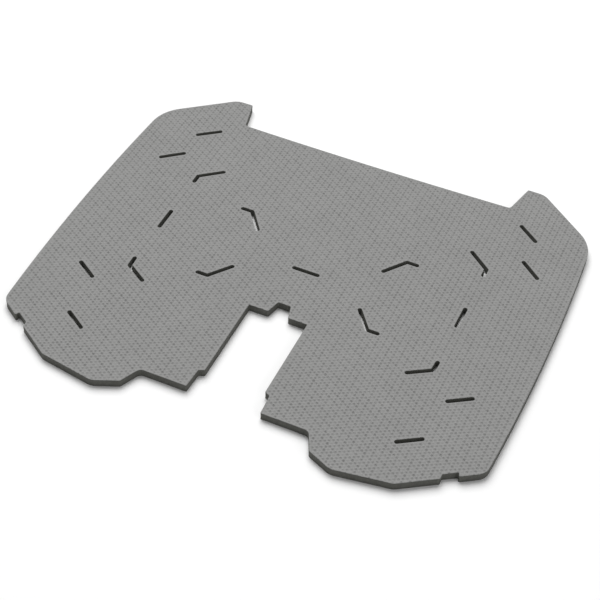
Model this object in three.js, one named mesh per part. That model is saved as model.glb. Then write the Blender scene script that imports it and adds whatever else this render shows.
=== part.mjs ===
// A flat foam liner sheet, cut from one piece of board. Millimetres, +Z up.
// The ears point to +Y and the big notch opens to -Y. The left side mirrors the right.
import * as THREE from 'three';

// Overall sheet. Heights (y) are measured up from the lowest edge of the lobes.
const sheetWidth = 360;
const sheetLength = 312.5;
const sheetThickness = 6;
const foamColour = 0x8c8c8a;

// Places follow these: x is out from the middle line or in from the side, y from the ends or the middle.
const sideX = sheetWidth / 2;
const topY = sheetLength;
const middleY = sheetLength / 2;

// Long sides: a shallow outward bow.
const sideBow = { radius: 1800, widestY: middleY + 1.8 };

// Ears at the top corners, with the neck edge between them.
const ear = {
  tipX: sideX - 51.5, topWidth: 13, footSlant: 6,
  tipRadius: 13, cornerRadius: 1, footRadius: 2.5,
};
const neck = { drop: 25.8, dip: 1.3 };
const shoulder = { x: sideX - 2, y: topY - 40.2, radius: 32 };

// Big notch in the lower edge: it widens by a step near its mouth, and has a small tapered recess at its top.
const notch = { halfWidth: 22, topY: 109, mouthStep: 4, stepY: 40.7, stepFall: 1.8, cornerRadius: 0.8 };
const recess = { topHalfWidth: 4.8, footHalfWidth: 7.5, depth: 11, cornerRadius: 1.3 };

// The two lobes beside the notch.
const lobe = {
  frontY: 22.8,
  rootX: 61.2, rootRadius: 5,
  kneeX: 68, kneeY: 7.8, kneeRadius: 3,
  lowX: 85.5, lowRadius: 12,
  outX: sideX - 53.8, outY: 6.6, outRadius: 6,
  flankEndX: sideX - 3.7, flankEndY: 39.8, flankEndRadius: 11,
};
const flankGap = { fromX: sideX - 29, width: 9.6, depth: 4, cornerRadius: 1 };

// Slots that run right through the sheet. A span is measured between its end centres.
const slotWidth = 3.4;
const slotSpan = 18;
const lowerSlotSpan = 16.8;
const centreSlot = { x: 0, y: middleY + 0.2, tilt: 0, span: slotSpan };
const pairedSlots = [
  { x: sideX - 49.2, y: topY - 47.2, tilt: -38.5, span: slotSpan },
  { x: sideX - 36, y: topY - 83.7, tilt: -40.4, span: slotSpan },
  { x: sideX - 64.9, y: middleY + 5.7, tilt: 90, span: slotSpan },
  { x: sideX - 39.9, y: 90.2, tilt: 33.3, span: lowerSlotSpan },
  { x: sideX - 57.6, y: 43.6, tilt: 33.4, span: lowerSlotSpan },
];
// A bent slot's elbow is at x, y, and its two legs run from there.
const bentSlots = [
  { x: sideX - 64.8, y: topY - 96.9, long: [-15.1, 12.6], short: [0, -6.7] },
  { x: 61.4, y: middleY + 41.1, long: [-11.9, -16.1], short: [7.6, 0] },
  { x: 61, y: middleY - 34, long: [-11.9, 15.9], short: [7.6, 0] },
  { x: sideX - 65.2, y: 107.3, long: [-15, -9.7], short: [0.4, 7.9] },
];
const arcSteps = 10;

// Vectors here are plain [x, y] pairs.
const minus = (a, b) => [a[0] - b[0], a[1] - b[1]];
const plus = (a, b, scale = 1) => [a[0] + b[0] * scale, a[1] + b[1] * scale];
const dot = (a, b) => a[0] * b[0] + a[1] * b[1];
const cross = (a, b) => a[0] * b[1] - a[1] * b[0];
const unit = (a) => [a[0] / Math.hypot(...a), a[1] / Math.hypot(...a)];
const leftOf = (a) => [-a[1], a[0]];
const angleFrom = (centre, point) => Math.atan2(point[1] - centre[1], point[0] - centre[0]);

function arcBetween(centre, radius, start, end, clockwise) {
  return { centre, radius, from: angleFrom(centre, start), to: angleFrom(centre, end), clockwise };
}

// A corner at b between the straight edges ab and bc, rounded to a radius.
function roundCorner(a, b, c, radius) {
  const into = unit(minus(b, a));
  const away = unit(minus(c, b));
  const side = Math.sign(cross(into, away));
  const setback = radius * Math.tan(Math.acos(dot(into, away)) / 2);
  const start = plus(b, into, -setback);
  const centre = plus(start, leftOf(into), side * radius);
  return arcBetween(centre, radius, start, plus(b, away, setback), side < 0);
}

// The same between a straight edge (through point, along direction) and a bowed edge.
// The small circle touches the inside of the bow, on the side of the edge given by side.
function roundIntoBow(point, direction, side, bow, radius) {
  const along = unit(direction);
  const inward = plus([0, 0], leftOf(along), side);
  const offset = minus(plus(point, inward, radius), bow.centre);
  const half = dot(offset, along);
  const reach = bow.radius - radius;
  const travel = -half + Math.sqrt(half * half - dot(offset, offset) + reach * reach);
  const centre = plus(plus(offset, bow.centre), along, travel);
  return {
    centre,
    onEdge: plus(centre, inward, -radius),
    onBow: plus(bow.centre, unit(minus(centre, bow.centre)), bow.radius),
  };
}

const side = { radius: sideBow.radius, centre: [sideX - sideBow.radius, sideBow.widestY] };
const earTip = [ear.tipX, topY];
const earCorner = [ear.tipX - ear.topWidth, topY];
const earFoot = [earCorner[0] - ear.footSlant, topY - neck.drop];
const neckRadius = (earFoot[0] ** 2 + neck.dip ** 2) / (2 * neck.dip);
const neckBow = { radius: neckRadius, centre: [0, earFoot[1] - neck.dip + neckRadius] };

const recessY = notch.topY + recess.depth;
const mouthX = notch.halfWidth + notch.mouthStep;
const gapEndX = flankGap.fromX + flankGap.width;
const lobeOut = [lobe.outX, lobe.outY];
const flankEnd = [lobe.flankEndX, lobe.flankEndY];
const flankSlope = (lobe.flankEndY - lobe.outY) / (lobe.flankEndX - lobe.outX);
const flankY = (x) => lobe.outY + flankSlope * (x - lobe.outX);

// Right half of the outline, from the recess round the lobe to the neck, anticlockwise.
function rightHalf() {
  const corners = [
    [[recess.topHalfWidth, recessY], recess.cornerRadius],
    [[recess.footHalfWidth, notch.topY], recess.cornerRadius],
    [[notch.halfWidth, notch.topY], notch.cornerRadius],
    [[notch.halfWidth, notch.stepY], notch.cornerRadius],
    [[mouthX, notch.stepY - notch.stepFall], 2 * notch.cornerRadius],
    [[mouthX + notch.cornerRadius, lobe.frontY], notch.cornerRadius],
    [[lobe.rootX, lobe.frontY], lobe.rootRadius],
    [[lobe.kneeX, lobe.kneeY], lobe.kneeRadius],
    [[lobe.lowX, 0], lobe.lowRadius],
    [lobeOut, lobe.outRadius],
    [[flankGap.fromX, flankY(flankGap.fromX)], flankGap.cornerRadius],
    [[flankGap.fromX, flankY(flankGap.fromX) + flankGap.depth], flankGap.cornerRadius],
    [[gapEndX, flankY(gapEndX) + flankGap.depth], flankGap.cornerRadius],
    [[gapEndX, flankY(gapEndX)], flankGap.cornerRadius],
  ];
  const points = [[0, recessY], ...corners.map((corner) => corner[0]), flankEnd];
  const run = corners.map(([, radius], i) => roundCorner(points[i], points[i + 1], points[i + 2], radius));

  const shoulderPoint = [shoulder.x, shoulder.y];
  const low = roundIntoBow(flankEnd, minus(flankEnd, lobeOut), 1, side, lobe.flankEndRadius);
  const high = roundIntoBow(shoulderPoint, minus(shoulderPoint, earTip), -1, side, shoulder.radius);
  const foot = roundIntoBow(earFoot, minus(earFoot, earCorner), -1, neckBow, ear.footRadius);
  run.push(arcBetween(low.centre, lobe.flankEndRadius, low.onEdge, low.onBow, false));
  run.push(arcBetween(side.centre, side.radius, low.onBow, high.onBow, false));
  run.push(arcBetween(high.centre, shoulder.radius, high.onBow, high.onEdge, false));
  run.push(roundCorner(high.onEdge, earTip, earCorner, ear.tipRadius));
  run.push(roundCorner(earTip, earCorner, earFoot, ear.cornerRadius));
  run.push(arcBetween(foot.centre, ear.footRadius, foot.onEdge, foot.onBow, true));
  return { run, neckEnd: foot.onBow };
}

function mirrorArc(arc) {
  return {
    centre: [-arc.centre[0], arc.centre[1]],
    radius: arc.radius,
    from: Math.PI - arc.to,
    to: Math.PI - arc.from,
    clockwise: arc.clockwise,
  };
}

function drawArcs(path, arcs) {
  for (const arc of arcs) {
    path.absarc(arc.centre[0], arc.centre[1], arc.radius, arc.from, arc.to, arc.clockwise);
  }
  return path;
}

function sheetOutline() {
  const { run, neckEnd } = rightHalf();
  const mirroredEnd = [-neckEnd[0], neckEnd[1]];
  const neckEdge = arcBetween(neckBow.centre, neckBow.radius, neckEnd, mirroredEnd, true);
  return drawArcs(new THREE.Shape(), [...run, neckEdge, ...run.map(mirrorArc).reverse()]);
}

function endCap(centre, direction) {
  const across = plus([0, 0], leftOf(direction), slotWidth / 2);
  return arcBetween(centre, slotWidth / 2, minus(centre, across), plus(centre, across), false);
}

function straightSlot({ x, y, tilt, span }) {
  const turn = THREE.MathUtils.degToRad(tilt);
  const along = [Math.cos(turn), Math.sin(turn)];
  const caps = [1, -1].map((sign) => endCap(plus([x, y], along, sign * span / 2), plus([0, 0], along, sign)));
  return drawArcs(new THREE.Path(), caps);
}

// Two legs of equal width: round ends, a round outer elbow and a sharp inner one.
function bentSlot(first, elbow, last) {
  const into = unit(minus(elbow, first));
  const away = unit(minus(last, elbow));
  const half = slotWidth / 2;
  const inner = plus(elbow, plus(leftOf(into), leftOf(away)), half / (1 + dot(into, away)));
  const outerStart = plus(elbow, leftOf(into), -half);
  const outerEnd = plus(elbow, leftOf(away), -half);
  const path = drawArcs(new THREE.Path(), [
    endCap(first, plus([0, 0], into, -1)),
    arcBetween(elbow, half, outerStart, outerEnd, false),
    endCap(last, away),
  ]);
  path.lineTo(inner[0], inner[1]);
  return path;
}

function allSlots() {
  const slots = [straightSlot(centreSlot)];
  for (const slot of pairedSlots) {
    slots.push(straightSlot(slot), straightSlot({ ...slot, x: -slot.x, tilt: 180 - slot.tilt }));
  }
  for (const { x, y, long, short } of bentSlots) {
    const legs = cross(long, short) < 0 ? [long, short] : [short, long];
    const [first, last] = legs.map((leg) => plus([x, y], leg));
    const mirror = (point) => [-point[0], point[1]];
    slots.push(bentSlot(first, [x, y], last), bentSlot(mirror(last), mirror([x, y]), mirror(first)));
  }
  return slots;
}

const outline = sheetOutline();
outline.holes.push(...allSlots());
const foam = new THREE.ExtrudeGeometry(outline, {
  depth: sheetThickness,
  bevelEnabled: false,
  curveSegments: arcSteps,
});

// The origin is the middle of the outline's box, on the underside.
foam.computeBoundingBox();
const middle = foam.boundingBox.getCenter(new THREE.Vector3());
foam.translate(-middle.x, -middle.y, 0);

const foamMaterial = new THREE.MeshStandardMaterial({ color: foamColour, roughness: 0.9, metalness: 0 });
const foamSheet = new THREE.Mesh(foam, foamMaterial);
foamSheet.name = 'foam_sheet';

const part = new THREE.Group();
part.name = 'foam_liner_sheet';
part.add(foamSheet);

export default part;
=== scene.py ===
import math

import bmesh
import bpy
from mathutils import Matrix, Vector, noise
from mathutils.bvhtree import BVHTree


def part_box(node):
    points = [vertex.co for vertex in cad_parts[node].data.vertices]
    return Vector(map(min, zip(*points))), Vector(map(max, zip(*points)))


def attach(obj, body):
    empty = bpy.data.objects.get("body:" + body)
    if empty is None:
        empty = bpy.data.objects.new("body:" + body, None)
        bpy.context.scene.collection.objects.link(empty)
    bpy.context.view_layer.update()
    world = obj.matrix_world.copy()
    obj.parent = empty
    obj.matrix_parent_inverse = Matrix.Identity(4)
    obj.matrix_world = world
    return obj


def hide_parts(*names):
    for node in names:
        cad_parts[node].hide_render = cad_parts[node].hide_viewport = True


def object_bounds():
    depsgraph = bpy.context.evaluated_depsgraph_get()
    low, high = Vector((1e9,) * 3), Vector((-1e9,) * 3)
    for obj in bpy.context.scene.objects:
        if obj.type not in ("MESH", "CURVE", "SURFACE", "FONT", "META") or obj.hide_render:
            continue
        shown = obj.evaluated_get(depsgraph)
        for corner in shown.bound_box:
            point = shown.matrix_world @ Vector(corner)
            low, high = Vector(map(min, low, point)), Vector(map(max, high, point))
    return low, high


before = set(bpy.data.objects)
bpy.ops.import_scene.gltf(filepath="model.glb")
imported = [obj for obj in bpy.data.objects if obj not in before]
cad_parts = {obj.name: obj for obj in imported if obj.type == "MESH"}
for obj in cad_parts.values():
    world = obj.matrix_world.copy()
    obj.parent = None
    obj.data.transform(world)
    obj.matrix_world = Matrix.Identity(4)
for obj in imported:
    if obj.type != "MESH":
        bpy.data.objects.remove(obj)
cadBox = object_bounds()
mm = 0.001
scene = bpy.context.scene

# Camera, light and floor. Directions are degrees anticlockwise from +X and degrees above the floor.
camera = {
    "lens": 90.0,
    "sensor": 36.0,
    "place": (0.28367, -0.71299, 0.74474),
    "turn": (44.946, -2.118, 24.048),
    "nearest": 0.01,
    "farthest": 100.0,
}
softboxes = [
    {"name": "keySoftbox", "around": 122.0, "height": 55.0, "distance": 4.5, "size": 3.8, "watts": 250.0},
    {"name": "sideSoftbox", "around": -20.0, "height": 28.0, "distance": 4.5, "size": 2.4, "watts": 26.0},
]
sky = {"strength": 0.32, "colour": (1.0, 1.0, 1.0, 1.0)}
floorPlan = {
    "radius": 14.0,
    "sides": 64,
    "gap": 0.05 * mm,
    "colour": (0.88, 0.88, 0.88, 1.0),
    "roughness": 0.9,
    "shine": 0.1,
}


def makeCamera():
    data = bpy.data.cameras.new("studioCamera")
    data.lens = camera["lens"]
    data.sensor_width = camera["sensor"]
    data.clip_start = camera["nearest"]
    data.clip_end = camera["farthest"]
    made = bpy.data.objects.new("studioCamera", data)
    made.location = camera["place"]
    made.rotation_euler = [math.radians(turn) for turn in camera["turn"]]
    scene.collection.objects.link(made)
    scene.camera = made


def makeSoftbox(plan, target):
    data = bpy.data.lights.new(plan["name"], "AREA")
    data.shape = "SQUARE"
    data.size = plan["size"]
    data.energy = plan["watts"]
    around = math.radians(plan["around"])
    height = math.radians(plan["height"])
    level = math.cos(height)
    away = Vector((math.cos(around) * level, math.sin(around) * level, math.sin(height)))
    softbox = bpy.data.objects.new(plan["name"], data)
    softbox.location = target + away * plan["distance"]
    softbox.rotation_euler = away.to_track_quat("Z", "Y").to_euler()
    scene.collection.objects.link(softbox)


def makeSky():
    world = bpy.data.worlds.new("studioSky")
    world.use_nodes = True
    background = world.node_tree.nodes["Background"]
    background.inputs["Color"].default_value = sky["colour"]
    background.inputs["Strength"].default_value = sky["strength"]
    scene.world = world


def makeFloor(height):
    bm = bmesh.new()
    place = Matrix.Translation((0.0, 0.0, height - floorPlan["gap"]))
    sides = floorPlan["sides"]
    bmesh.ops.create_circle(bm, cap_ends=True, segments=sides, radius=floorPlan["radius"], matrix=place)
    mesh = bpy.data.meshes.new("paleFloor")
    bm.to_mesh(mesh)
    bm.free()
    floor = bpy.data.objects.new("paleFloor", mesh)
    scene.collection.objects.link(floor)
    paint = bpy.data.materials.new("paleFloorPaint")
    paint.use_nodes = True
    shader = paint.node_tree.nodes["Principled BSDF"]
    shader.inputs["Base Color"].default_value = floorPlan["colour"]
    shader.inputs["Roughness"].default_value = floorPlan["roughness"]
    shader.inputs["Specular IOR Level"].default_value = floorPlan["shine"]
    mesh.materials.append(paint)


scene.view_settings.view_transform = "Standard"
boxMiddle = (cadBox[0] + cadBox[1]) / 2
makeCamera()
for softbox in softboxes:
    makeSoftbox(softbox, Vector((boxMiddle.x, boxMiddle.y, cadBox[1].z)))
makeSky()
makeFloor(cadBox[0].z)
print("studio made")

# Foam materials. Blotch, grain and roughness are (scale per metre, noise detail, lowest, highest).
# Pores are (scale per metre, darkest, lightest), and their bump is (strength, depth). The colour is darkest
# at the pits' sunken centres: painted shade in the pits.
skin = {
    "colour": (0.231, 0.231, 0.227),
    "blotch": (40.0, 3.0, 0.975, 1.025),
    "grain": (700.0, 2.0, 0.95, 1.05),
    "grainStretch": (1.0, 1.0, 1.0),
    "pores": (2600.0, 0.96, 1.02),
    "roughness": (900.0, 2.0, 0.76, 0.88),
    "bump": (0.35, 0.04 * mm),
}
cutFaceToneAndPaintedShade = {
    # The cut walls' colour is well darker than the skin's: partly the cut foam's own tone, partly painted
    # shade for walls that face away from the light.
    "colour": (0.094, 0.095, 0.084),
    "blotch": (150.0, 3.0, 0.93, 1.07),
    "grain": (900.0, 3.0, 0.88, 1.10),
    "grainStretch": (1.0, 1.0, 0.25),  # the knife drags the grain up and down the wall
    "pores": (1700.0, 0.72, 1.08),
    "roughness": (900.0, 2.0, 0.84, 0.94),
    "bump": (0.6, 0.12 * mm),
}
underside = {
    "colour": (0.205, 0.205, 0.200),
    "blotch": (30.0, 3.0, 0.97, 1.03),
    "grain": (1100.0, 2.0, 0.95, 1.05),
    "grainStretch": (1.0, 1.0, 1.0),
    "pores": (2200.0, 0.94, 1.03),
    "roughness": (900.0, 2.0, 0.68, 0.78),
    "bump": (0.4, 0.05 * mm),
}
evenly = (1.0, 1.0, 1.0)
# The parts of a noise's and a pore pattern's own range that the values above are spread over.
noiseSpan = (0.3, 0.7)
poreSpan = (0.02, 0.6)


def wire(material, source, target):
    material.node_tree.links.new(source, target)


def remap(material, source, span, low, high):
    node = material.node_tree.nodes.new("ShaderNodeMapRange")
    node.inputs["From Min"].default_value = span[0]
    node.inputs["From Max"].default_value = span[1]
    node.inputs["To Min"].default_value = low
    node.inputs["To Max"].default_value = high
    wire(material, source, node.inputs["Value"])
    return node.outputs["Result"]


def noiseField(material, field, stretch):
    scale, detail, low, high = field
    nodes = material.node_tree.nodes
    mapping = nodes.new("ShaderNodeMapping")
    mapping.inputs["Scale"].default_value = stretch
    wire(material, nodes.new("ShaderNodeTexCoord").outputs["Object"], mapping.inputs["Vector"])
    texture = nodes.new("ShaderNodeTexNoise")
    texture.inputs["Scale"].default_value = scale
    texture.inputs["Detail"].default_value = detail
    wire(material, mapping.outputs["Vector"], texture.inputs["Vector"])
    return remap(material, texture.outputs["Fac"], noiseSpan, low, high)


def poreHeight(material, scale):
    nodes = material.node_tree.nodes
    texture = nodes.new("ShaderNodeTexVoronoi")
    texture.inputs["Scale"].default_value = scale
    wire(material, nodes.new("ShaderNodeTexCoord").outputs["Object"], texture.inputs["Vector"])
    return texture.outputs["Distance"]


def product(material, a, b):
    node = material.node_tree.nodes.new("ShaderNodeMath")
    node.operation = "MULTIPLY"
    wire(material, a, node.inputs[0])
    wire(material, b, node.inputs[1])
    return node.outputs["Value"]


def foamMaterial(name, plan):
    material = bpy.data.materials.new(name)
    material.use_nodes = True
    shader = material.node_tree.nodes["Principled BSDF"]
    scale, low, high = plan["pores"]
    pores = poreHeight(material, scale)
    blotch = noiseField(material, plan["blotch"], evenly)
    grain = noiseField(material, plan["grain"], plan["grainStretch"])
    # The pore pattern darkens the colour where its bump sinks the pits: painted shade in the pits,
    # strongest on the cut walls.
    shade = product(material, product(material, blotch, grain), remap(material, pores, poreSpan, low, high))
    tint = material.node_tree.nodes.new("ShaderNodeVectorMath")
    tint.operation = "SCALE"
    tint.inputs[0].default_value = plan["colour"]
    wire(material, shade, tint.inputs["Scale"])
    wire(material, tint.outputs["Vector"], shader.inputs["Base Color"])
    wire(material, noiseField(material, plan["roughness"], evenly), shader.inputs["Roughness"])
    strength, depth = plan["bump"]
    bump = material.node_tree.nodes.new("ShaderNodeBump")
    bump.inputs["Strength"].default_value = strength
    bump.inputs["Distance"].default_value = depth
    wire(material, pores, bump.inputs["Height"])
    wire(material, bump.outputs["Normal"], shader.inputs["Normal"])
    return material


foamMaterials = [
    foamMaterial("embossedFoamSkin", skin),
    foamMaterial("cutFoamEdgeAndPaintedShade", cutFaceToneAndPaintedShade),
    foamMaterial("plainFoamSkin", underside),
]
skinIndex, cutIndex, underIndex = range(len(foamMaterials))
print("foam materials made")

# The embossed face: pimples on a triangular grid, with four heights that repeat together.
emboss = {
    "pitch": 2.83 * mm,
    "height": 1.14 * mm,
    "siteHeights": (0.74, 0.74, 0.95, 0.33),  # shares of the height
    "pimpleRadius": 1.5 * mm,
    "rings": (0.68, 0.34),  # shares of the radius
    "valley": 5.4 * mm,  # above the underside
    "margin": 4.0 * mm,  # past the sheet's box, cut off later
}
# The cut walls: the outer ones draw in a little below mid height, and a slot's bulge into it there.
cutWall = {
    "levels": (1.0 * mm, 2.2 * mm, 3.4 * mm, 4.6 * mm),
    "dip": 0.16 * mm,
    "slotBulge": 0.8 * mm,
    "topLift": 3.0 * mm,  # clear of the pimples, which then cut the walls off
}
rim = {"radius": 0.9 * mm, "drop": 0.3 * mm, "calmRadius": 1.6 * mm}
wander = {"size": 60.0 * mm, "depth": 0.05 * mm}
uneven = {"size": 5.0 * mm, "share": 0.35}  # of a pimple's height, up or down
tolerance = {"weld": 0.002 * mm, "slice": 0.0001 * mm, "level": 0.01 * mm}
sharpAngle = math.radians(50.0)
flatNormal = 0.7  # a face whose normal is this upright is on top or below, and the others are walls
hexagonTurn = math.radians(30.0)


def domeHeight(fraction):
    return 0.5 + 0.5 * math.cos(math.pi * fraction)


def raisePimple(bm, x, y, height):
    radius = emboss["pitch"] / math.sqrt(3.0)
    place = Matrix.Translation((x, y, 0.0)) @ Matrix.Rotation(hexagonTurn, 4, "Z")
    cell = bmesh.ops.create_circle(bm, cap_ends=True, segments=6, radius=radius, matrix=place)
    top = cell["verts"][0].link_faces[0]
    at = radius
    up = 0.0
    for fraction in emboss["rings"]:
        reach = fraction * emboss["pimpleRadius"]
        rise = height * domeHeight(fraction)
        inward = (at - reach) * math.cos(hexagonTurn)
        bmesh.ops.inset_individual(bm, faces=[top], thickness=inward, depth=rise - up, use_even_offset=True)
        at = reach
        up = rise
    bmesh.ops.poke(bm, faces=[top], offset=height - up, center_mode="MEAN")


# Copies everything in the mesh, so that there are count of it in all.
def repeat(bm, count, offset):
    first = list(bm.verts) + list(bm.edges) + list(bm.faces)
    for step in range(1, count):
        copied = bmesh.ops.duplicate(bm, geom=first)
        verts = [item for item in copied["geom"] if isinstance(item, bmesh.types.BMVert)]
        bmesh.ops.translate(bm, verts=verts, vec=offset(step))


# The embossed surface over the whole rectangle, closed below.
def embossedBlock(low, high):
    pitch = emboss["pitch"]
    column = pitch * math.cos(hexagonTurn)
    bm = bmesh.new()
    for index, share in enumerate(emboss["siteHeights"]):
        across = index % 2
        up = index // 2
        raisePimple(bm, across * column, (up + across / 2) * pitch, emboss["height"] * share)
    reach = high - low
    rows = math.ceil((reach.y + 2 * emboss["margin"]) / (2 * pitch))
    columns = math.ceil((reach.x + 2 * emboss["margin"]) / (2 * column))
    repeat(bm, rows, lambda step: Vector((0.0, 2 * pitch * step, 0.0)))
    repeat(bm, columns, lambda step: Vector((2 * column * step, pitch * (step % 2), 0.0)))
    bmesh.ops.remove_doubles(bm, verts=bm.verts, dist=tolerance["weld"])
    bmesh.ops.recalc_face_normals(bm, faces=bm.faces)
    corner = Vector((low.x - emboss["margin"], low.y - emboss["margin"], emboss["valley"]))
    bmesh.ops.translate(bm, verts=bm.verts, vec=corner)
    border = [edge for edge in bm.edges if edge.is_boundary]
    skirt = bmesh.ops.extrude_edge_only(bm, edges=border)
    for item in skirt["geom"]:
        if isinstance(item, bmesh.types.BMVert):
            item.co.z = low.z - emboss["margin"]
    bmesh.ops.holes_fill(bm, edges=[edge for edge in bm.edges if edge.is_boundary], sides=0)
    bmesh.ops.recalc_face_normals(bm, faces=bm.faces)
    return bm


def isOnWall(edge):
    return any(abs(face.normal.z) < flatNormal for face in edge.link_faces)


# All the points of the wall that the first one is on.
def wallFrom(start):
    found = {start}
    waiting = [start]
    while waiting:
        for edge in waiting.pop().link_edges:
            if isOnWall(edge):
                for vert in edge.verts:
                    if vert not in found:
                        found.add(vert)
                        waiting.append(vert)
    return found


def shapeWalls(bm, low, high):
    thick = high.z - low.z
    waiting = set(bm.verts)
    while waiting:
        wall = wallFrom(next(iter(waiting)))
        waiting -= wall
        across = max(vert.co.x for vert in wall) - min(vert.co.x for vert in wall)
        isSlot = across < (high.x - low.x) / 2
        push = cutWall["slotBulge"] if isSlot else -cutWall["dip"]
        for vert in wall:
            depth = (high.z - vert.co.z) / thick
            outward = Vector((vert.normal.x, vert.normal.y, 0.0)).normalized()
            vert.co += outward * push * math.sin(math.pi * depth * depth)


# The sheet's solid with its walls shaped and its top lifted clear of the pimples.
def sheetBlank(node, low, high):
    bm = bmesh.new()
    bm.from_mesh(node.data)
    bmesh.ops.remove_doubles(bm, verts=bm.verts, dist=tolerance["weld"])
    upward = (0.0, 0.0, 1.0)
    for level in cutWall["levels"]:
        geom = list(bm.verts) + list(bm.edges) + list(bm.faces)
        place = (0.0, 0.0, low.z + level)
        bmesh.ops.bisect_plane(bm, geom=geom, dist=tolerance["slice"], plane_co=place, plane_no=upward)
    bm.normal_update()
    for face in bm.faces:
        if abs(face.normal.z) < flatNormal:
            face.material_index = cutIndex
        else:
            face.material_index = skinIndex if face.normal.z > 0 else underIndex
    shapeWalls(bm, low, high)
    for vert in bm.verts:
        if vert.co.z > high.z - tolerance["level"]:
            vert.co.z += cutWall["topLift"]
    return bm


def asObject(bm, name):
    mesh = bpy.data.meshes.new(name)
    bm.to_mesh(mesh)
    bm.free()
    for material in foamMaterials:
        mesh.materials.append(material)
    made = bpy.data.objects.new(name, mesh)
    scene.collection.objects.link(made)
    return made


def wallTree(node):
    bm = bmesh.new()
    bm.from_mesh(node.data)
    bm.normal_update()
    flat = [face for face in bm.faces if abs(face.normal.z) > flatNormal]
    bmesh.ops.delete(bm, geom=flat, context="FACES")
    tree = BVHTree.FromBMesh(bm)
    bm.free()
    return tree


# Makes the pimples uneven, and lets the face wander a little. Beside a cut the pimples are
# calmed, and the top rim is rounded over.
def softenRims(bm, node, low, high):
    walls = wallTree(node)
    calmHeight = emboss["valley"] + emboss["height"] / 2
    for vert in bm.verts:
        if vert.co.z < emboss["valley"] - tolerance["level"]:
            continue
        relief = vert.co.z - emboss["valley"]
        vert.co.z += relief * uneven["share"] * noise.noise(vert.co / uneven["size"])
        beside = Vector((vert.co.x, vert.co.y, (low.z + high.z) / 2))
        distance = walls.find_nearest(beside, rim["calmRadius"])[3]
        if distance is not None:
            calm = 1.0 - distance / rim["calmRadius"]
            vert.co.z += (calmHeight - vert.co.z) * calm
            out = max(0.0, 1.0 - distance / rim["radius"])
            vert.co.z -= rim["drop"] * (1.0 - math.sqrt(1.0 - out * out))
        vert.co.z += wander["depth"] * noise.noise(vert.co / wander["size"])


def makeFoamSheet(node):
    low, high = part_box(node.name)
    block = asObject(embossedBlock(low, high), "embossedBlock")
    print("embossed block of", len(block.data.polygons), "faces made")
    sheet = asObject(sheetBlank(node, low, high), "foamSheet")
    cut = sheet.modifiers.new("cutToOutline", "BOOLEAN")
    cut.operation = "INTERSECT"
    cut.solver = "MANIFOLD"
    cut.object = block
    bpy.context.view_layer.update()
    graph = bpy.context.evaluated_depsgraph_get()
    finished = bpy.data.meshes.new_from_object(sheet.evaluated_get(graph), depsgraph=graph)
    sheet.modifiers.clear()
    bm = bmesh.new()
    bm.from_mesh(finished)
    bmesh.ops.triangulate(bm, faces=bm.faces)
    softenRims(bm, node, low, high)
    bm.normal_update()
    for face in bm.faces:
        face.smooth = face.material_index != underIndex
    openEdges = sum(1 for edge in bm.edges if not edge.is_manifold)
    print("foam sheet of", len(bm.faces), "triangles made, with", openEdges, "open edges")
    bm.to_mesh(sheet.data)
    bm.free()
    sheet.data.set_sharp_from_angle(angle=sharpAngle)
    bpy.data.objects.remove(block)
    return sheet


foamSheet = makeFoamSheet(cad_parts["foam_sheet"])
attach(foamSheet, "root")
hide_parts("foam_sheet")
print("foam sheet placed")
